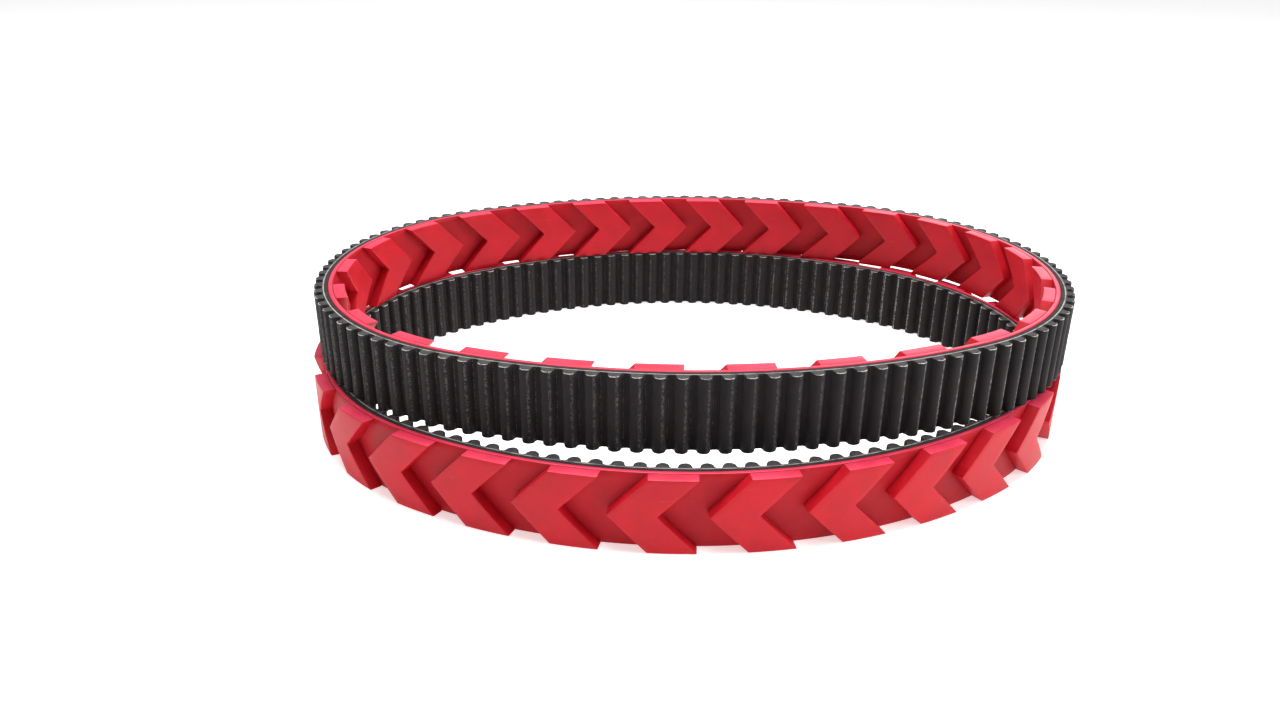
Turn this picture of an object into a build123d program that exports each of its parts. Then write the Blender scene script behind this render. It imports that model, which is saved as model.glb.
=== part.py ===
"""A pair of endless timing belts with a chevron tread, one standing on the other.

The lower belt stands the usual way round: teeth inside the loop, tread outside.
The upper belt is turned inside out: teeth outside, tread inside.
The upper belt is three teeth longer. Units are millimetres and +Z is up. The origin is the middle
of the ground that the pair covers.
"""

from build123d import *
from collections import namedtuple
import math
import os

# Belt: a round-tooth timing belt of 8 mm pitch
tooth_pitch = 8.0
belt_width = 30.0
nose_radius = 2.55
root_radius = 0.83
land_to_pitch_line = 0.69
facing_thickness = 0.2
cord_ply_thickness = 0.8
backing_thickness = 1.9

# Tread: a flat cover sheet, and the chevron lugs on it
cover_thickness = 2.0
lug_count = 27
lug_height = 5.0
lug_arm = 18.0
lug_sweep = 14.5

# Each belt's lugs go in this many nodes, so the last two nodes hold two lugs each
lug_nodes = 25

# Gaps: one layer from the next, and the upper belt from the lower
layer_gap = 0.02
rest_gap = 0.1

cover_top = backing_thickness + cover_thickness
lug_top = cover_top + lug_height

# Each loop is an oval of four arcs. Its lugs are bonded by hand and stray from even spacing in
# waves round the loop, each given as its size, how many times it goes round, and its phase.
Loop = namedtuple("Loop", "name teeth end_radius end_angle centre turn base teeth_out lug_start waves")
lower = Loop(
    name="lower",
    teeth=111,
    end_radius=106.0,
    end_angle=math.radians(53.6),
    centre=(-2.9, -1.2),
    turn=math.radians(0.45),
    base=0.0,
    teeth_out=False,
    lug_start=-15.8,
    waves=[(2.2, 4, -0.27)],
)
upper = Loop(
    name="upper",
    teeth=114,
    end_radius=107.0,
    end_angle=math.radians(65),
    centre=(0.5, 9.2),
    turn=math.radians(-0.3),
    base=belt_width + rest_gap,
    teeth_out=True,
    lug_start=5.4,
    waves=[(7.5, 1, 3.02), (2.1, 3, -2.71)],
)


def loop_length(loop):
    """Length of the loop's pitch line."""
    return loop.teeth * tooth_pitch


def pitch_arcs(loop):
    """Centre, radius, first and last angle of each arc, anticlockwise from the +X end."""
    bend = loop.end_angle
    growth = (loop_length(loop) - 2 * math.pi * loop.end_radius) / (2 * math.pi - 4 * bend)
    end = growth * math.cos(bend)
    side = growth * math.sin(bend)
    side_radius = loop.end_radius + growth
    return [
        ((end, 0), loop.end_radius, 0, bend),
        ((0, -side), side_radius, bend, math.pi - bend),
        ((-end, 0), loop.end_radius, math.pi - bend, math.pi + bend),
        ((0, side), side_radius, math.pi + bend, 2 * math.pi - bend),
        ((end, 0), loop.end_radius, 2 * math.pi - bend, 2 * math.pi),
    ]


def polar(loop, centre, reach, angle):
    """A point of the oval by its arc's centre, reach and angle, put where the loop stands."""
    x = centre[0] + reach * math.cos(angle)
    y = centre[1] + reach * math.sin(angle)
    turn = loop.turn
    return (
        loop.centre[0] + x * math.cos(turn) - y * math.sin(turn),
        loop.centre[1] + x * math.sin(turn) + y * math.cos(turn),
    )


def station(loop, travel):
    """Arc centre, radius and angle at a distance along the pitch line."""
    left = travel % loop_length(loop)
    for centre, radius, first, last in pitch_arcs(loop):
        length = radius * (last - first)
        if left <= length:
            return centre, radius, first + left / radius
        left -= length
    return centre, radius, last


def outward(loop, offset):
    """An offset from the pitch line towards the tread, as one away from the loop's middle."""
    return -offset if loop.teeth_out else offset


def smooth_line(loop, offset):
    """Draws the closed line at an offset from the pitch line towards the tread."""
    for centre, radius, first, last in pitch_arcs(loop):
        reach = radius + outward(loop, offset)
        middle = (first + last) / 2
        ThreePointArc(*[polar(loop, centre, reach, angle) for angle in (first, middle, last)])


def toothed_line(loop, depth):
    """Draws the closed line of lands and teeth, at a depth below the toothed surface."""
    nose = nose_radius - depth
    root = root_radius + depth
    half_base = nose_radius + root_radius
    diagonal = math.sqrt(0.5)
    flank = [
        (nose, root_radius),
        (half_base - root * diagonal, root_radius - root * diagonal),
        (half_base, root_radius - root),
    ]
    tip = (0, root_radius + nose)
    profile = [(-along, height) for along, height in reversed(flank)] + [tip] + flank
    teeth = []
    for index in range(loop.teeth):
        centre, radius, angle = station(loop, (index + 0.5) * tooth_pitch)
        tooth = []
        for along, height in profile:
            reach = radius + outward(loop, -land_to_pitch_line - height)
            tooth.append(polar(loop, centre, reach, angle + along / radius))
        teeth.append(tooth)
    for tooth, next_tooth in zip(teeth, teeth[1:] + teeth[:1]):
        ThreePointArc(*tooth[0:3])
        ThreePointArc(*tooth[2:5])
        ThreePointArc(*tooth[4:7])
        Line(tooth[6], next_tooth[0])


def ring(loop, tooth_side, tread_side):
    """A ring of the belt's full width. Each side is a drawing function and its offset."""
    outer, inner = (tooth_side, tread_side) if loop.teeth_out else (tread_side, tooth_side)
    with BuildPart() as layer:
        with BuildSketch(Plane.XY.offset(loop.base)):
            with BuildLine():
                outer[0](loop, outer[1])
            make_face()
            with BuildLine():
                inner[0](loop, inner[1])
            make_face(mode=Mode.SUBTRACT)
        extrude(amount=belt_width)
    return layer.part


def save(piece, name):
    piece.part.label = name
    export_step(piece.part, f"parts/{name}.step")


def tooth_facing(loop):
    """The woven nylon that wraps the teeth."""
    cloth = ring(loop, (toothed_line, 0), (toothed_line, facing_thickness))
    with BuildPart() as facing:
        add(cloth)
    save(facing, f"{loop.name}_tooth_facing")


def tooth_rubber(loop):
    """Rubber from the facing up to the cords."""
    under_facing = (toothed_line, facing_thickness + layer_gap)
    under_cords = (smooth_line, -cord_ply_thickness / 2 - layer_gap)
    body = ring(loop, under_facing, under_cords)
    with BuildPart() as rubber:
        add(body)
    save(rubber, f"{loop.name}_tooth_rubber")


def cord_ply(loop):
    """The ply of glass-fibre cords on the pitch line, which carries the belt's pull."""
    winding = ring(loop, (smooth_line, -cord_ply_thickness / 2), (smooth_line, cord_ply_thickness / 2))
    with BuildPart() as cords:
        add(winding)
    save(cords, f"{loop.name}_cord_ply")


def backing_rubber(loop):
    """Rubber behind the cords."""
    over_cords = (smooth_line, cord_ply_thickness / 2 + layer_gap)
    body = ring(loop, over_cords, (smooth_line, backing_thickness))
    with BuildPart() as rubber:
        add(body)
    save(rubber, f"{loop.name}_backing_rubber")


def tread_cover(loop):
    """The flat sheet bonded to the backing, which carries the lugs."""
    sheet = ring(loop, (smooth_line, backing_thickness + layer_gap), (smooth_line, cover_top))
    with BuildPart() as cover:
        add(sheet)
    save(cover, f"{loop.name}_tread_cover")


def lug_travel(loop, index):
    """Where a lug's middle lies along the pitch line."""
    travel = loop.lug_start + index * loop_length(loop) / lug_count
    for size, times, phase in loop.waves:
        travel += size * math.sin(2 * math.pi * times * index / lug_count + phase)
    return travel


def lug_plane(loop, index):
    """A plane tangent to the belt at a lug, +X the way its chevron points, +Z out of the loop."""
    centre, radius, angle = station(loop, lug_travel(loop, index))
    x, y = polar(loop, centre, radius, angle)
    facing = angle + loop.turn
    return Plane(
        origin=(x, y, loop.base + belt_width / 2),
        x_dir=(math.sin(facing), -math.cos(facing), 0),
        z_dir=(math.cos(facing), math.sin(facing), 0),
    )


def chevron_lug(plane, band):
    """One chevron, as wide as the belt, cut square to it out of the band of lug height."""
    tip = (lug_arm + lug_sweep) / 2
    heel = tip - lug_sweep
    edge = belt_width / 2
    with BuildPart() as lug:
        with BuildSketch(plane):
            with BuildLine():
                Polyline(
                    (tip, 0),
                    (heel, edge),
                    (heel - lug_arm, edge),
                    (tip - lug_arm, 0),
                    (heel - lug_arm, -edge),
                    (heel, -edge),
                    close=True,
                )
            make_face()
        extrude(amount=lug_top + lug_height, both=True)
        add(band, mode=Mode.INTERSECT)
    return lug.part


def tread_lugs(loop):
    """All the chevrons. They point clockwise, seen from above."""
    band = ring(loop, (smooth_line, cover_top + layer_gap), (smooth_line, lug_top))
    lugs = [chevron_lug(lug_plane(loop, index), band) for index in range(lug_count)]
    singles = 2 * lug_nodes - lug_count
    groups = [[lug] for lug in lugs[:singles]]
    groups += [list(pair) for pair in zip(lugs[singles::2], lugs[singles + 1 :: 2])]
    for number, group in enumerate(groups, start=1):
        with BuildPart() as node:
            add(group)
        save(node, f"{loop.name}_lug_{number:02d}")


os.makedirs("parts", exist_ok=True)
for loop in (lower, upper):
    tooth_facing(loop)
    tooth_rubber(loop)
    cord_ply(loop)
    backing_rubber(loop)
    tread_cover(loop)
    tread_lugs(loop)
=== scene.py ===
"""Looks for a pair of endless timing belts with a red chevron tread, one standing on the other.

Everything here is in metres, in the CAD model's frame: +Z up, the origin in the middle of the
ground that the pair covers. Each belt is an oval loop. The lower one has its teeth inside and its
tread outside; the upper one is turned inside out and stands on the lower one.
"""

import math
from collections import namedtuple

import bmesh
import bpy
from mathutils import Matrix, Vector, noise


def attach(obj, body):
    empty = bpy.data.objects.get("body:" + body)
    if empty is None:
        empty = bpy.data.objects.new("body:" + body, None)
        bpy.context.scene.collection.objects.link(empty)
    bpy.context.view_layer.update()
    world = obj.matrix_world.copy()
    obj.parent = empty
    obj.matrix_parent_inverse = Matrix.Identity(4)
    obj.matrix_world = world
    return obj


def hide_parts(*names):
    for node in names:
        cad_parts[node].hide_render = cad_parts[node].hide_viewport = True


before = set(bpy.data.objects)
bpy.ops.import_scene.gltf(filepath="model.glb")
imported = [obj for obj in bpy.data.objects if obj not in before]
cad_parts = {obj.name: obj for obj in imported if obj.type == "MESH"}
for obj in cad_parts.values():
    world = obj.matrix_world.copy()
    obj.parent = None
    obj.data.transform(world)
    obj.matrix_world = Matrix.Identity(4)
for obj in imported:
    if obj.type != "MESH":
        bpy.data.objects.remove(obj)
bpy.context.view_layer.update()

MM = 0.001

# The belt's driving dimensions, as in the CAD model
TOOTH_PITCH = 8.0 * MM
BELT_WIDTH = 30.0 * MM
NOSE_RADIUS = 2.55 * MM
ROOT_RADIUS = 0.83 * MM
LAND_TO_PITCH_LINE = 0.69 * MM
BACKING_THICKNESS = 1.9 * MM
COVER_THICKNESS = 2.0 * MM
LUG_COUNT = 27
LUG_HEIGHT = 5.0 * MM
LUG_ARM = 18.0 * MM
LUG_SWEEP = 14.5 * MM
LUG_NODES = 25
REST_GAP = 0.1 * MM

COVER_TOP = BACKING_THICKNESS + COVER_THICKNESS
LUG_TOP = COVER_TOP + LUG_HEIGHT

# Surface detail
CLOTH_THICKNESS = 0.32 * MM
CLOTH_WOBBLE = 0.07 * MM
FRAY = 0.25 * MM
SEAM = 0.03 * MM
EDGE_ROUND = 0.18 * MM
LUG_EDGE = 0.3 * MM
CORD_RADIUS = 0.2 * MM
CORD_DRIFT = 0.5 * MM

# Mesh fineness: samples of a tooth's foot and nose, and steps round the loop for each tooth
FILLET_STEPS = 5
NOSE_STEPS = 14
CORD_STEPS = 8
COVER_STEPS = 5

# Angles in degrees: edges over the creases stay sharp, and lug edges over the corner are rounded
CLOTH_CREASE = 55
SLIT_CREASE = 40
CORD_CREASE = 60
RED_CREASE = 50
LUG_CORNER = 30

# The camera: its place in metres, its angles in degrees, its lens and film in millimetres
CAMERA_PLACE = (-52.51 * MM, -432.24 * MM, 209.71 * MM)
CAMERA_TURN = -3.37
CAMERA_DIP = 24.009
CAMERA_ROLL = 0.36
CAMERA_LENS = 28.52
CAMERA_FILM = 36
CAMERA_SHIFT = 0.005

# Each loop is an oval of four arcs. Its lugs are bonded by hand and stray from even spacing in
# waves round the loop, each given as its size, how many times it goes round, and its phase.
Loop = namedtuple(
    "Loop",
    "name teeth end_radius end_angle centre turn base teeth_out lug_start waves",
)
lower = Loop(
    name="lower",
    teeth=111,
    end_radius=106 * MM,
    end_angle=math.radians(53.6),
    centre=(-2.9 * MM, -1.2 * MM),
    turn=math.radians(0.45),
    base=0.0,
    teeth_out=False,
    lug_start=-15.8 * MM,
    waves=[(2.2 * MM, 4, -0.27)],
)
upper = Loop(
    name="upper",
    teeth=114,
    end_radius=107 * MM,
    end_angle=math.radians(65),
    centre=(0.5 * MM, 9.2 * MM),
    turn=math.radians(-0.3),
    base=BELT_WIDTH + REST_GAP,
    teeth_out=True,
    lug_start=5.4 * MM,
    waves=[(7.5 * MM, 1, 3.02), (2.1 * MM, 3, -2.71)],
)


# ---------------------------------------------------------------- the loops' plan

def loop_length(loop):
    """Length of the loop's pitch line."""
    return loop.teeth * TOOTH_PITCH


def pitch_arcs(loop):
    """Centre, radius, first and last angle of each arc, anticlockwise from the +X end."""
    bend = loop.end_angle
    growth = (loop_length(loop) - 2 * math.pi * loop.end_radius) / (2 * math.pi - 4 * bend)
    end = growth * math.cos(bend)
    side = growth * math.sin(bend)
    side_radius = loop.end_radius + growth
    return [
        ((end, 0), loop.end_radius, 0, bend),
        ((0, -side), side_radius, bend, math.pi - bend),
        ((-end, 0), loop.end_radius, math.pi - bend, math.pi + bend),
        ((0, side), side_radius, math.pi + bend, 2 * math.pi - bend),
        ((end, 0), loop.end_radius, 2 * math.pi - bend, 2 * math.pi),
    ]


def station(loop, travel):
    """Arc centre, radius and angle at a distance along the pitch line."""
    left = travel % loop_length(loop)
    for centre, radius, first, last in pitch_arcs(loop):
        length = radius * (last - first)
        if left <= length:
            return centre, radius, first + left / radius
        left -= length
    return centre, radius, last


def outward(loop, offset):
    """An offset from the pitch line towards the tread, as one away from the loop's middle."""
    return -offset if loop.teeth_out else offset


def on_loop(loop, travel, offset, height):
    """A point at a travel along the pitch line, an offset towards the tread and a height."""
    centre, radius, angle = station(loop, travel)
    reach = radius + outward(loop, offset)
    x = centre[0] + reach * math.cos(angle)
    y = centre[1] + reach * math.sin(angle)
    return Vector(
        (
            loop.centre[0] + x * math.cos(loop.turn) - y * math.sin(loop.turn),
            loop.centre[1] + x * math.sin(loop.turn) + y * math.cos(loop.turn),
            loop.base + height,
        )
    )


def tooth_profile():
    """One tooth and the land after it, as (along, height, lean, face) samples.

    lean and face are the parts of the surface's normal along the belt and away from it.
    """
    half_base = NOSE_RADIUS + ROOT_RADIUS
    samples = []
    for step in range(FILLET_STEPS):
        angle = math.pi / 2 * step / FILLET_STEPS
        lean, face = -math.sin(angle), math.cos(angle)
        height = ROOT_RADIUS - ROOT_RADIUS * face
        samples.append((-half_base - ROOT_RADIUS * lean, height, lean, face))
    for step in range(NOSE_STEPS + 1):
        angle = math.pi * step / NOSE_STEPS
        lean, face = -math.cos(angle), math.sin(angle)
        height = ROOT_RADIUS + NOSE_RADIUS * face
        samples.append((NOSE_RADIUS * lean, height, lean, face))
    for step in range(FILLET_STEPS - 1, -1, -1):
        angle = math.pi / 2 * step / FILLET_STEPS
        lean, face = math.sin(angle), math.cos(angle)
        height = ROOT_RADIUS - ROOT_RADIUS * face
        samples.append((half_base - ROOT_RADIUS * lean, height, lean, face))
    samples.append((TOOTH_PITCH / 2, 0, 0, 1))
    return samples


def toothed_columns(loop):
    """Every sample round the loop, as (travel, height, lean, face)."""
    profile = tooth_profile()
    columns = []
    for index in range(loop.teeth):
        middle = (index + 0.5) * TOOTH_PITCH
        columns += [(middle + along, height, lean, face) for along, height, lean, face in profile]
    return columns


# ---------------------------------------------------------------- mesh helpers

def new_piece(name, vertices, faces):
    """A new mesh object in the scene."""
    mesh = bpy.data.meshes.new(name)
    mesh.from_pydata([tuple(v) for v in vertices], [], faces)
    piece = bpy.data.objects.new(name, mesh)
    bpy.context.scene.collection.objects.link(piece)
    return piece


def ring_piece(loop, name, columns, flip, labels):
    """A closed ring whose cross-sections are the columns, each a closed list of points.

    labels gives each point's two surface coordinates, in millimetres, kept as the UV map
    "surface": along the belt, and across it.
    """
    rows = len(columns[0])
    count = len(columns)
    vertices = [point for column in columns for point in column]
    faces = []
    corners = []
    for i in range(count):
        j = (i + 1) % count
        wrap = loop_length(loop) / MM if j == 0 else 0
        for a in range(rows):
            b = (a + 1) % rows
            quad = [(i, a, 0), (j, a, wrap), (j, b, wrap), (i, b, 0)]
            if flip:
                quad.reverse()
            faces.append([column * rows + row for column, row, _ in quad])
            corners += [(labels[c][r][0] + shift, labels[c][r][1]) for c, r, shift in quad]
    piece = new_piece(f"{loop.name}_{name}", vertices, faces)
    layer = piece.data.uv_layers.new(name="surface")
    layer.data.foreach_set("uv", [value for corner in corners for value in corner])
    return piece


def shade(piece, angle_degrees):
    """Smooth shading, except over edges sharper than the angle."""
    mesh = piece.data
    mesh.polygons.foreach_set("use_smooth", [True] * len(mesh.polygons))
    mesh.set_sharp_from_angle(angle=math.radians(angle_degrees))


def place(piece, loop, slot_name, *nodes):
    """The piece moves with its belt, and stands for CAD nodes of it."""
    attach(piece, f"{loop.name}_belt")
    if nodes:
        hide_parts(*[f"{loop.name}_{node}" for node in nodes])


# ---------------------------------------------------------------- materials

class Shader:
    """A Principled material, with short calls for the nodes that these materials share."""

    def __init__(self, name, roughness, specular):
        self.material = bpy.data.materials.new(name)
        self.material.use_nodes = True
        self.nodes = self.material.node_tree.nodes
        self.links = self.material.node_tree.links
        self.bsdf = self.nodes["Principled BSDF"]
        self.bsdf.inputs["Roughness"].default_value = roughness
        self.bsdf.inputs["Specular IOR Level"].default_value = specular
        self.position = self.nodes.new("ShaderNodeTexCoord").outputs["Object"]

    def feed(self, socket, value):
        """Links the value to the socket if it comes from a node, and sets it if it is constant."""
        if isinstance(value, bpy.types.NodeSocket):
            self.links.new(value, socket)
        else:
            socket.default_value = value

    def noise(self, size_mm, detail=3.0, roughness=0.5, stretch=(1, 1, 1)):
        """Noise whose features are about size_mm across, along each axis of the object."""
        mapping = self.nodes.new("ShaderNodeMapping")
        mapping.inputs["Scale"].default_value = [1 / (size_mm * MM * s) for s in stretch]
        self.links.new(self.position, mapping.inputs["Vector"])
        node = self.nodes.new("ShaderNodeTexNoise")
        node.inputs["Scale"].default_value = 1.0
        node.inputs["Detail"].default_value = detail
        node.inputs["Roughness"].default_value = roughness
        self.links.new(mapping.outputs["Vector"], node.inputs["Vector"])
        return node.outputs["Fac"]

    def math(self, operation, a, b=0.0, c=0.0):
        """The result of a Math node."""
        node = self.nodes.new("ShaderNodeMath")
        node.operation = operation
        for socket, value in zip(node.inputs, (a, b, c)):
            self.feed(socket, value)
        return node.outputs["Value"]

    def ramp(self, value, low, high, out_low=0.0, out_high=1.0):
        """The value's step from low to high, smoothed, as out_low to out_high."""
        node = self.nodes.new("ShaderNodeMapRange")
        node.interpolation_type = "SMOOTHSTEP"
        for key, number in (
            ("From Min", low),
            ("From Max", high),
            ("To Min", out_low),
            ("To Max", out_high),
        ):
            node.inputs[key].default_value = number
        self.feed(node.inputs["Value"], value)
        return node.outputs["Result"]

    def mix(self, factor, a, b):
        """Colour a where the factor is 0 and colour b where it is 1."""
        node = self.nodes.new("ShaderNodeMix")
        node.data_type = "RGBA"
        self.feed(node.inputs[0], factor)
        self.feed(node.inputs[6], a)
        self.feed(node.inputs[7], b)
        return node.outputs[2]

    def surface(self):
        """The surface coordinates in millimetres: along the belt, and across it."""
        labels = self.nodes.new("ShaderNodeUVMap")
        labels.uv_map = "surface"
        node = self.nodes.new("ShaderNodeSeparateXYZ")
        self.links.new(labels.outputs["UV"], node.inputs["Vector"])
        return node.outputs["X"], node.outputs["Y"]

    def along_x(self):
        """The object's X coordinate, in metres."""
        node = self.nodes.new("ShaderNodeSeparateXYZ")
        self.links.new(self.position, node.inputs["Vector"])
        return node.outputs["X"]

    def attribute(self, name):
        """A number that the mesh carries at each point."""
        node = self.nodes.new("ShaderNodeAttribute")
        node.attribute_name = name
        return node.outputs["Fac"]

    def colour(self, value):
        """Sets or links the base colour."""
        self.feed(self.bsdf.inputs["Base Color"], value)

    def roughness(self, value):
        """Sets or links the roughness."""
        self.feed(self.bsdf.inputs["Roughness"], value)

    def bump(self, height, depth_mm, under=None):
        """Bump whose full height is depth_mm, on top of any bump underneath."""
        node = self.nodes.new("ShaderNodeBump")
        node.inputs["Strength"].default_value = 1.0
        node.inputs["Distance"].default_value = depth_mm * MM
        self.feed(node.inputs["Height"], height)
        if under is not None:
            self.links.new(under, node.inputs["Normal"])
        self.links.new(node.outputs["Normal"], self.bsdf.inputs["Normal"])
        return node.outputs["Normal"]


def rgb(red, green, blue):
    """A linear colour from sRGB values of 0 to 255."""
    def linear(value):
        value /= 255
        return value / 12.92 if value <= 0.04045 else ((value + 0.055) / 1.055) ** 2.4
    return (linear(red), linear(green), linear(blue), 1.0)


def twill_cloth():
    """Black nylon twill with painted shade between its ribs, and a grey line of rubbed wear and
    painted highlight along one shoulder of each tooth, most at the +X end.
    """
    rib = 0.55
    yarn = 1.2
    yarn_share = 0.45
    # The shoulder line grows towards +X, where the lamp on the right falls, as painted highlight
    highlight_and_wear_start = 30 * MM
    highlight_and_wear_end = 135 * MM
    black = rgb(26, 23, 25)
    faded_black = rgb(40, 35, 36)
    # Painted shade for the grooves between the ribs
    painted_shade_between_ribs = rgb(14, 12, 13)
    # The shoulder line's colour: partly rubbed thread, partly painted highlight
    bare_thread_and_highlight = rgb(182, 179, 174)
    dust = rgb(112, 106, 100)
    look = Shader("nylon_twill", roughness=0.72, specular=0.22)
    along, across = look.surface()
    slant = look.math("MULTIPLY", look.math("ADD", along, across), math.pi / rib)
    counter = look.math("MULTIPLY", look.math("SUBTRACT", along, across), math.pi / yarn)
    ribs = look.math("ABSOLUTE", look.math("SINE", slant))
    yarns = look.math("ABSOLUTE", look.math("SINE", counter))
    yarns = look.math("MULTIPLY_ADD", yarns, yarn_share, 1 - yarn_share)
    weave = look.math("MULTIPLY", ribs, yarns)
    mottle = look.noise(size_mm=6.0, detail=4.0, roughness=0.6)
    fine = look.noise(size_mm=0.45, detail=2.0, roughness=0.7)
    broken_up = look.noise(size_mm=0.8, detail=4.0, roughness=0.8, stretch=(1, 1, 1.3))
    stretches = look.noise(size_mm=34.0, detail=2.0, roughness=0.5, stretch=(1, 1, 0.3))
    # A line along one shoulder of each tooth: partly rubbed wear, partly painted highlight, broken
    # up by noise
    lean = look.attribute("lean")
    worn_and_highlight = look.math("MULTIPLY", look.ramp(lean, 0.2, 0.34), look.ramp(lean, 0.52, 0.72, 1.0, 0.0))
    worn_and_highlight = look.math("MULTIPLY", worn_and_highlight, look.ramp(broken_up, 0.47, 0.56))
    worn_and_highlight = look.math("MULTIPLY", worn_and_highlight, look.ramp(stretches, 0.38, 0.62, 0.6, 1.0))
    worn_and_highlight = look.math("MULTIPLY", worn_and_highlight, look.ramp(look.along_x(), highlight_and_wear_start, highlight_and_wear_end, 0.16, 1.0))
    specks = look.math("MULTIPLY", look.ramp(fine, 0.68, 0.78), look.ramp(mottle, 0.45, 0.7))
    base = look.mix(look.ramp(mottle, 0.3, 0.7), black, faded_black)
    # Painted shade: the low parts of the weave are darkened
    base = look.mix(look.ramp(weave, 0.0, 0.75, 0.6, 0.0), base, painted_shade_between_ribs)
    base = look.mix(look.math("MULTIPLY", worn_and_highlight, 0.9), base, bare_thread_and_highlight)
    base = look.mix(look.math("MULTIPLY", specks, 0.2), base, dust)
    look.colour(base)
    look.roughness(look.ramp(mottle, 0.3, 0.7, 0.62, 0.76))
    coarse = look.bump(mottle, depth_mm=0.12)
    look.bump(weave, depth_mm=0.11, under=coarse)
    look.bsdf.inputs["Sheen Weight"].default_value = 0.06
    look.bsdf.inputs["Sheen Roughness"].default_value = 0.45
    return look.material


def cut_cloth():
    """The cut edge of the cloth: broken threads, white over the teeth and black on the lands."""
    black = rgb(34, 31, 32)
    thread = rgb(214, 211, 206)
    look = Shader("cut_cloth_edge", roughness=0.85, specular=0.25)
    threads = look.noise(size_mm=0.4, detail=3.0, roughness=0.8)
    patches = look.noise(size_mm=3.0, detail=2.0)
    over_tooth = look.ramp(look.attribute("crest"), 0.6, 0.92)
    broken_up = look.ramp(threads, 0.38, 0.5)
    frayed = look.math("MULTIPLY", broken_up, look.ramp(patches, 0.3, 0.5, 0.4, 1.0))
    look.colour(look.mix(look.math("MULTIPLY", frayed, over_tooth), black, thread))
    look.bump(threads, depth_mm=0.1)
    return look.material


def cut_rubber():
    """Slit rubber: grey tooth ends, the cut cord as a pale broken line, and a dark backing."""
    tooth_black = rgb(40, 37, 38)
    tooth_grey = rgb(66, 63, 64)
    tooth_grain = rgb(80, 77, 78)
    backing_black = rgb(38, 30, 32)
    backing_mauve = rgb(54, 44, 46)
    cut_cord = rgb(184, 180, 174)
    look = Shader("cut_rubber_edge", roughness=0.8, specular=0.3)
    _, across = look.surface()
    grain = look.noise(size_mm=0.6, detail=4.0, roughness=0.7)
    streaks = look.noise(size_mm=4.0, detail=3.0, roughness=0.6)
    dust = look.ramp(streaks, 0.3, 0.7)
    teeth = look.mix(dust, tooth_black, tooth_grey)
    teeth = look.mix(look.ramp(grain, 0.4, 0.7), teeth, tooth_grain)
    backing = look.mix(dust, backing_black, backing_mauve)
    base = look.mix(look.ramp(across, 0.3, 0.5), teeth, backing)
    from_cord = look.math("ABSOLUTE", across)
    on_cord = look.ramp(from_cord, 0.14, 0.32, 1.0, 0.0)
    showing = look.math("MULTIPLY", on_cord, look.ramp(streaks, 0.38, 0.56, 0.3, 1.0))
    base = look.mix(look.math("MULTIPLY", showing, 0.8), base, cut_cord)
    look.colour(base)
    look.roughness(look.ramp(grain, 0.3, 0.7, 0.72, 0.9))
    look.bump(grain, depth_mm=0.08)
    return look.material


def cord_fibre():
    """Glass-fibre cord, twisted, in its adhesive."""
    adhesive = rgb(146, 142, 136)
    glass = rgb(196, 192, 186)
    look = Shader("glass_cord", roughness=0.55, specular=0.4)
    fibres = look.noise(size_mm=0.3, detail=3.0, roughness=0.6, stretch=(1, 1, 0.4))
    look.colour(look.mix(look.ramp(fibres, 0.35, 0.65), adhesive, glass))
    look.bump(fibres, depth_mm=0.05)
    return look.material


def red_rubber(name, light, dark, roughness, specular):
    """Red rubber with a fine grain, cloudy colour, faint scuffs and dark specks."""
    scuff = rgb(238, 110, 122)
    speck = rgb(110, 12, 22)
    look = Shader(name, roughness, specular)
    clouds = look.noise(size_mm=14.0, detail=4.0, roughness=0.55)
    grain = look.noise(size_mm=0.35, detail=3.0, roughness=0.6)
    ripple = look.noise(size_mm=5.0, detail=2.0, roughness=0.4)
    scuffs = look.noise(size_mm=3.0, detail=4.0, roughness=0.65, stretch=(2.5, 2.5, 0.5))
    base = look.mix(look.ramp(clouds, 0.32, 0.68), dark, light)
    scuffed = look.math("MULTIPLY", look.ramp(scuffs, 0.6, 0.74), look.ramp(grain, 0.4, 0.6))
    base = look.mix(look.math("MULTIPLY", scuffed, 0.2), base, scuff)
    base = look.mix(look.ramp(grain, 0.66, 0.74, 0.0, 0.12), base, speck)
    look.colour(base)
    dull = look.ramp(clouds, 0.3, 0.7, roughness - 0.05, roughness + 0.06)
    look.roughness(look.math("MULTIPLY_ADD", scuffed, 0.2, dull))
    slow = look.bump(ripple, depth_mm=0.1)
    look.bump(grain, depth_mm=0.025, under=slow)
    look.bsdf.inputs["Subsurface Weight"].default_value = 0.06
    look.bsdf.inputs["Subsurface Radius"].default_value = (1.0, 0.25, 0.2)
    look.bsdf.inputs["Subsurface Scale"].default_value = 0.8 * MM
    return look.material


def shaded_cover_red():
    """The cover sheet's red: the lugs' red made a little darker, as painted shade between the
    lugs.
    """
    light = rgb(176, 23, 34)
    dark = rgb(160, 18, 29)
    return red_rubber("shaded_red_cover_rubber", light, dark, roughness=0.5, specular=0.16)


def lug_red():
    """The lugs' moulded red."""
    light = rgb(192, 22, 37)
    dark = rgb(178, 18, 32)
    return red_rubber("red_lug_rubber", light, dark, roughness=0.45, specular=0.2)


def slit_and_lit_red():
    """The pinker, paler red on the top and bottom edges: partly knife-cut rubber, partly painted
    light from the lamp overhead.
    """
    light = rgb(222, 54, 86)
    dark = rgb(208, 45, 74)
    return red_rubber("slit_and_lit_red_rubber", light, dark, roughness=0.45, specular=0.45)


def pale_floor():
    """A white light table, lit a little from below."""
    grey_white = rgb(247, 247, 247)
    bright_white = rgb(251, 251, 251)
    look = Shader("pale_floor", roughness=0.7, specular=0.3)
    patches = look.noise(size_mm=400.0, detail=2.0)
    look.colour(look.mix(patches, grey_white, bright_white))
    look.bsdf.inputs["Emission Color"].default_value = (1.0, 1.0, 1.0, 1.0)
    look.bsdf.inputs["Emission Strength"].default_value = 0.52
    return look.material


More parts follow.
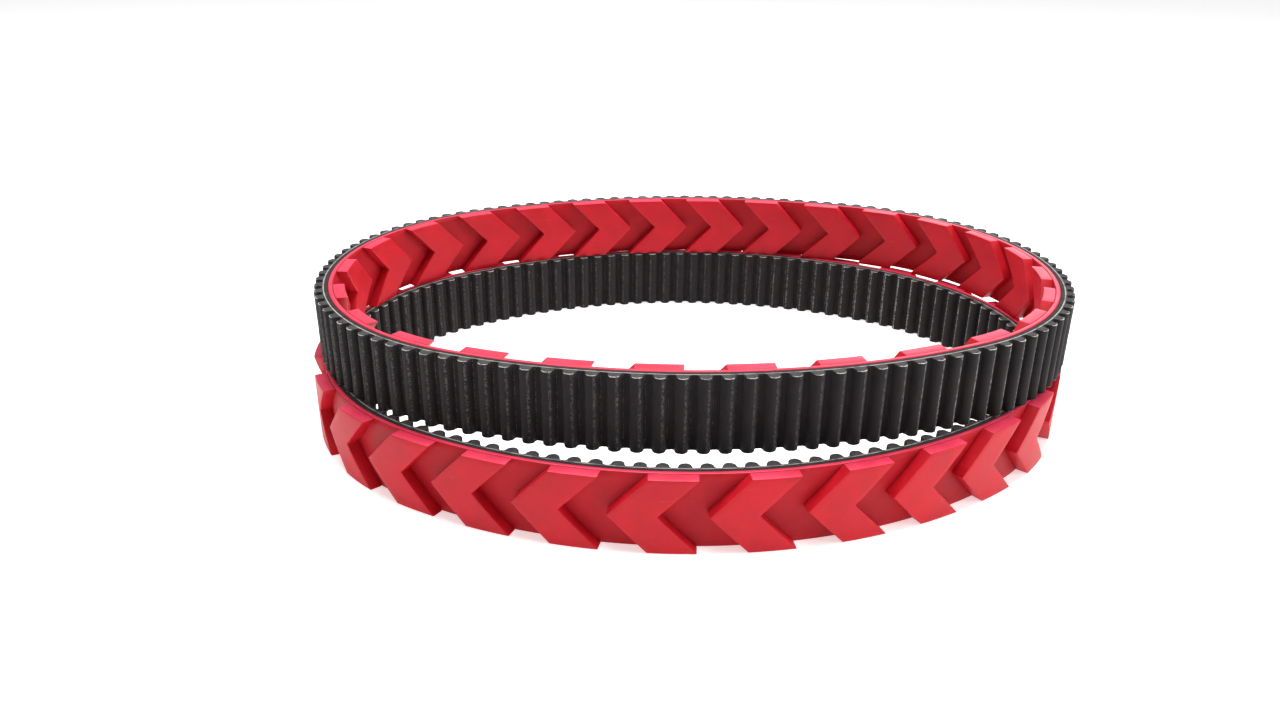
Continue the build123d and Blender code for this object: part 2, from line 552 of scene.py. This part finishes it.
# ---------------------------------------------------------------- the belt's pieces

def cloth_point(loop, column, sink, height):
    """A point of the toothed surface, sunk into the belt."""
    travel, tooth_height, lean, face = column
    offset = -LAND_TO_PITCH_LINE - tooth_height + sink * face
    return on_loop(loop, travel - sink * lean, offset, height)


def cloth_wobble(loop, travel, height):
    """How far the cloth sinks in, a little different everywhere."""
    length = 3.0 * MM
    width = 2.2 * MM
    least = 0.6
    swing = 0.8
    spot = Vector((travel / length, height / width, loop.base / MM))
    return CLOTH_WOBBLE * (least + swing * noise.noise(spot))


def frayed_edge(loop, travel, height):
    """How far the knife left the cloth's edge below its full width."""
    thread = 0.7 * MM
    spot = Vector((travel / thread, height / MM, loop.base / MM))
    return FRAY * abs(noise.noise(spot))


def build_facing(loop, columns, cloth, cut_edge):
    """The woven cloth over the teeth, with its frayed cut edges at the top and bottom."""
    rows_mm = [0.6, 1.6, 3.2, 6, 9, 12, 15, 18, 21, 24, 26.8, 28.4, 29.4]
    label_rise = 0.6
    edge = [
        (SEAM, CLOTH_THICKNESS),
        (0.0, CLOTH_THICKNESS - EDGE_ROUND),
        (0.0, EDGE_ROUND),
        (EDGE_ROUND, 0.0),
    ]
    section = [(height, depth, 1) for height, depth in edge]
    section += [(row * MM, 0.0, 0) for row in rows_mm]
    section += [(BELT_WIDTH - height, depth, -1) for height, depth in reversed(edge)]
    points = []
    labels = []
    crests = []
    leans = []
    for column in columns:
        travel, tooth_height, lean, _ = column
        ring = []
        marks = []
        for height, depth, inward in section:
            rise = height + inward * frayed_edge(loop, travel, height)
            sink = depth if depth else cloth_wobble(loop, travel, height)
            ring.append(cloth_point(loop, column, sink, rise))
            marks.append((travel / MM + tooth_height / MM * label_rise, height / MM - depth / MM))
            crests.append(tooth_height / (NOSE_RADIUS + ROOT_RADIUS))
            leans.append(lean)
        points.append(ring)
        labels.append(marks)
    piece = ring_piece(loop, "nylon_facing", points, not loop.teeth_out, labels)
    mesh = piece.data
    for name, values in (("crest", crests), ("lean", leans)):
        mesh.attributes.new(name, "FLOAT", "POINT").data.foreach_set("value", values)
    mesh.materials.append(cloth)
    mesh.materials.append(cut_edge)
    rows = len(section)
    last_edge = rows - len(edge)
    edge_rows = set(range(len(edge) - 1)) | set(range(last_edge, rows - 1))
    slots = [1 if index % rows in edge_rows else 0 for index in range(len(mesh.polygons))]
    mesh.polygons.foreach_set("material_index", slots)
    shade(piece, CLOTH_CREASE)
    place(piece, loop, "tooth_fabric", "tooth_facing")


def build_core(loop, columns, rubber):
    """Tooth rubber and backing inside the cloth, their slit edges dished along the cord."""
    back = BACKING_THICKNESS - SEAM
    dish = [(-0.22 * MM, 1.0), (0.0, 2.6), (0.22 * MM, 1.0)]
    ripple = 5 * MM
    noise_row = 3.7
    depth_share = 1.5
    points = []
    labels = []
    for column in columns:
        travel, tooth_height, _, _ = column
        rough = noise.noise(Vector((travel / ripple, noise_row, loop.base / MM)))
        dip = SEAM * (depth_share + depth_share * rough)
        ring = []
        marks = []
        for edge, inward in ((0.0, 1), (BELT_WIDTH, -1)):
            lip = edge + inward * dip
            under_cloth = cloth_point(loop, column, CLOTH_THICKNESS + SEAM, lip)
            row = [(under_cloth, CLOTH_THICKNESS - LAND_TO_PITCH_LINE - tooth_height)]
            for offset, depth in dish:
                row.append((on_loop(loop, travel, offset, edge + inward * dip * depth), offset))
            row.append((on_loop(loop, travel, back - EDGE_ROUND, lip), back - EDGE_ROUND))
            row.append((on_loop(loop, travel, back, lip + inward * EDGE_ROUND), back))
            if inward > 0:
                row.reverse()
            ring += [point for point, _ in row]
            marks += [(travel / MM, offset / MM) for _, offset in row]
        points.append(ring)
        labels.append(marks)
    piece = ring_piece(loop, "belt_core", points, not loop.teeth_out, labels)
    piece.data.materials.append(rubber)
    shade(piece, SLIT_CREASE)
    place(piece, loop, "belt_rubber", "tooth_rubber", "cord_ply", "backing_rubber")


def build_cut_cords(loop, fibre):
    """The outermost cord turns, which the slitting knife cuts into here and there."""
    sides = 8
    ripple = 45 * MM
    mean_drift = 0.3
    steps = loop.teeth * CORD_STEPS
    turns = (("top", BELT_WIDTH - CORD_RADIUS, -1), ("bottom", CORD_RADIUS, 1))
    for end, edge_height, inward in turns:
        points = []
        labels = []
        for index in range(steps):
            travel = index * loop_length(loop) / steps
            drift = noise.noise(Vector((travel / ripple, loop.base / MM, edge_height / MM)))
            sunk = max(SEAM, CORD_DRIFT * (mean_drift + drift))
            ring = []
            for side in range(sides):
                angle = 2 * math.pi * side / sides
                height = edge_height + inward * sunk + CORD_RADIUS * math.sin(angle)
                ring.append(on_loop(loop, travel, CORD_RADIUS * math.cos(angle), height))
            points.append(ring)
            labels.append([(travel / MM, side) for side in range(sides)])
        piece = ring_piece(loop, f"cut_cord_{end}", points, False, labels)
        piece.data.materials.append(fibre)
        shade(piece, CORD_CREASE)
        place(piece, loop, "glass_cord")


def add_reds(piece, moulded, slit):
    """The slit red, partly painted top light, on the faces that look straight up or down, the
    moulded on the rest.
    """
    flat = 0.9
    mesh = piece.data
    mesh.materials.append(moulded)
    mesh.materials.append(slit)
    for face in mesh.polygons:
        # Faces looking up or down get the paler red: partly the slit surface, partly painted light
        # from above
        face.material_index = 1 if abs(face.normal.z) > flat else 0


def build_cover(loop, moulded, slit):
    """The flat red sheet bonded to the backing."""
    bottom = BACKING_THICKNESS + SEAM
    top = BELT_WIDTH
    heights = [3, 6, 9, 12, 15, 18, 21, 24, 27]
    section = [(0.0, bottom + EDGE_ROUND), (0.0, COVER_TOP - EDGE_ROUND), (EDGE_ROUND, COVER_TOP)]
    section += [(height * MM, COVER_TOP) for height in heights]
    section += [(top - EDGE_ROUND, COVER_TOP), (top, COVER_TOP - EDGE_ROUND)]
    section += [(top, bottom + EDGE_ROUND), (top - EDGE_ROUND, bottom), (EDGE_ROUND, bottom)]
    steps = loop.teeth * COVER_STEPS
    points = []
    labels = []
    for index in range(steps):
        travel = index * loop_length(loop) / steps
        points.append([on_loop(loop, travel, offset, height) for height, offset in section])
        labels.append([(travel / MM, height / MM) for height, _ in section])
    piece = ring_piece(loop, "red_cover", points, loop.teeth_out, labels)
    add_reds(piece, moulded, slit)
    shade(piece, RED_CREASE)
    place(piece, loop, "tread_rubber", "tread_cover")


def lug_travel(loop, index):
    """Where a lug's middle lies along the pitch line."""
    travel = loop.lug_start + index * loop_length(loop) / LUG_COUNT
    for size, times, phase in loop.waves:
        travel += size * math.sin(2 * math.pi * times * index / LUG_COUNT + phase)
    return travel


def chevron_outline(share_along, share_across):
    """How far a point is ahead of the lug's middle, by its shares of the arm and of the width."""
    tip = (LUG_ARM + LUG_SWEEP) / 2
    return tip - LUG_SWEEP * abs(2 * share_across - 1) - LUG_ARM * share_along


def build_lug(loop, index, moulded, slit):
    """One chevron: crown and foot follow the belt's curve, its walls stand square to the belt."""
    steps_along = 6
    steps_across = 12
    middle = lug_travel(loop, index)
    _, radius, _ = station(loop, middle)
    levels = (COVER_TOP + SEAM, LUG_TOP)
    lug = bmesh.new()
    grid = {}
    for level, offset in enumerate(levels):
        squeeze = 1 + outward(loop, offset) / radius
        for i in range(steps_along + 1):
            for j in range(steps_across + 1):
                ahead = chevron_outline(i / steps_along, j / steps_across)
                travel = middle - ahead / squeeze
                height = BELT_WIDTH * j / steps_across
                grid[level, i, j] = lug.verts.new(on_loop(loop, travel, offset, height))
    foot, crown = 0, 1
    for i in range(steps_along):
        for j in range(steps_across):
            around = [(i, j), (i + 1, j), (i + 1, j + 1), (i, j + 1)]
            lug.faces.new([grid[(crown, *spot)] for spot in around])
            lug.faces.new([grid[(foot, *spot)] for spot in reversed(around)])
    rim = [(i, 0) for i in range(steps_along)]
    rim += [(steps_along, j) for j in range(steps_across)]
    rim += [(i, steps_across) for i in range(steps_along, 0, -1)]
    rim += [(0, j) for j in range(steps_across, 0, -1)]
    for a, b in zip(rim, rim[1:] + rim[:1]):
        lug.faces.new([grid[(foot, *a)], grid[(foot, *b)], grid[(crown, *b)], grid[(crown, *a)]])
    bmesh.ops.recalc_face_normals(lug, faces=lug.faces)
    sharp = [edge for edge in lug.edges if edge.calc_face_angle() > math.radians(LUG_CORNER)]
    bmesh.ops.bevel(lug, geom=sharp, offset=LUG_EDGE, segments=3, profile=0.5, affect="EDGES")
    mesh = bpy.data.meshes.new(f"{loop.name}_chevron_{index + 1:02d}")
    lug.to_mesh(mesh)
    lug.free()
    piece = bpy.data.objects.new(mesh.name, mesh)
    bpy.context.scene.collection.objects.link(piece)
    add_reds(piece, moulded, slit)
    shade(piece, RED_CREASE)
    singles = 2 * LUG_NODES - LUG_COUNT
    node = index if index < singles else singles + (index - singles) // 2
    place(piece, loop, "lug_rubber", f"lug_{node + 1:02d}")


def build_belt(loop, materials):
    """All the pieces of one belt."""
    columns = toothed_columns(loop)
    build_facing(loop, columns, materials["cloth"], materials["cut_cloth"])
    build_core(loop, columns, materials["cut_rubber"])
    build_cover(loop, materials["cover"], materials["slit_and_lit_red"])
    for index in range(LUG_COUNT):
        build_lug(loop, index, materials["lug"], materials["slit_and_lit_red"])
    build_cut_cords(loop, materials["cord"])


# ---------------------------------------------------------------- the setting

def add_camera():
    """The camera stands in front of the loops, a little to the left, and looks down on them."""
    data = bpy.data.cameras.new("camera")
    data.sensor_width = CAMERA_FILM
    data.lens = CAMERA_LENS
    data.shift_x = CAMERA_SHIFT
    camera = bpy.data.objects.new("camera", data)
    look = Matrix.Rotation(math.radians(CAMERA_TURN), 4, "Z")
    look = look @ Matrix.Rotation(math.radians(90 - CAMERA_DIP), 4, "X")
    look = look @ Matrix.Rotation(math.radians(CAMERA_ROLL), 4, "Z")
    camera.matrix_world = Matrix.Translation(CAMERA_PLACE) @ look
    bpy.context.scene.collection.objects.link(camera)
    bpy.context.scene.camera = camera


def add_floor():
    """A wide flat floor, a hair under the lower belt."""
    reach = 6.0
    drop = 0.05 * MM
    corners = [(-reach, -reach), (reach, -reach), (reach, reach), (-reach, reach)]
    floor = new_piece("floor", [(x, y, -drop) for x, y in corners], [(0, 1, 2, 3)])
    floor.data.materials.append(pale_floor())


def add_light(name, place_at, target, width, power):
    """A round lamp that faces its target."""
    data = bpy.data.lights.new(name, "AREA")
    data.shape = "DISK"
    data.size = width
    data.energy = power
    light = bpy.data.objects.new(name, data)
    light.location = place_at
    light.rotation_euler = (Vector(target) - Vector(place_at)).to_track_quat("-Z", "Y").to_euler()
    bpy.context.scene.collection.objects.link(light)


def add_room():
    """A room with white walls and a greyer ceiling, as the light from each direction."""
    wall_top = 0.1
    ceiling_start = 0.25
    wall_light = 1.0
    ceiling_light = 0.34
    world = bpy.data.worlds.new("room")
    world.use_nodes = True
    nodes = world.node_tree.nodes
    links = world.node_tree.links
    direction = nodes.new("ShaderNodeTexCoord").outputs["Generated"]
    parts = nodes.new("ShaderNodeSeparateXYZ")
    links.new(direction, parts.inputs["Vector"])
    strength = nodes.new("ShaderNodeMapRange")
    strength.inputs["From Min"].default_value = wall_top
    strength.inputs["From Max"].default_value = ceiling_start
    strength.inputs["To Min"].default_value = wall_light
    strength.inputs["To Max"].default_value = ceiling_light
    links.new(parts.outputs["Z"], strength.inputs["Value"])
    background = nodes["Background"]
    background.inputs["Color"].default_value = (1.0, 1.0, 1.0, 1.0)
    links.new(strength.outputs["Result"], background.inputs["Strength"])
    bpy.context.scene.world = world


def add_lights():
    """A broad lamp overhead and two weaker ones, on the right and behind."""
    ground = (0, 0, 0)
    belts = (0, 0, 0.03)
    add_light("overhead", place_at=(0.0, 0.15, 1.4), target=ground, width=1.0, power=26)
    add_light("right", place_at=(1.5, -0.5, 0.7), target=belts, width=0.8, power=12)
    add_light("back_right", place_at=(0.9, 1.7, 0.6), target=belts, width=0.9, power=5)


def main():
    """Sets the scene, and builds both belts in it."""
    bpy.context.scene.view_settings.view_transform = "Standard"
    add_camera()
    add_floor()
    add_room()
    add_lights()
    materials = {
        "cloth": twill_cloth(),
        "cut_cloth": cut_cloth(),
        "cut_rubber": cut_rubber(),
        "cord": cord_fibre(),
        # The cover's red is a darker copy of the lugs' red, as painted shade
        "cover": shaded_cover_red(),
        "lug": lug_red(),
        "slit_and_lit_red": slit_and_lit_red(),
    }
    for loop in (lower, upper):
        build_belt(loop, materials)


main()
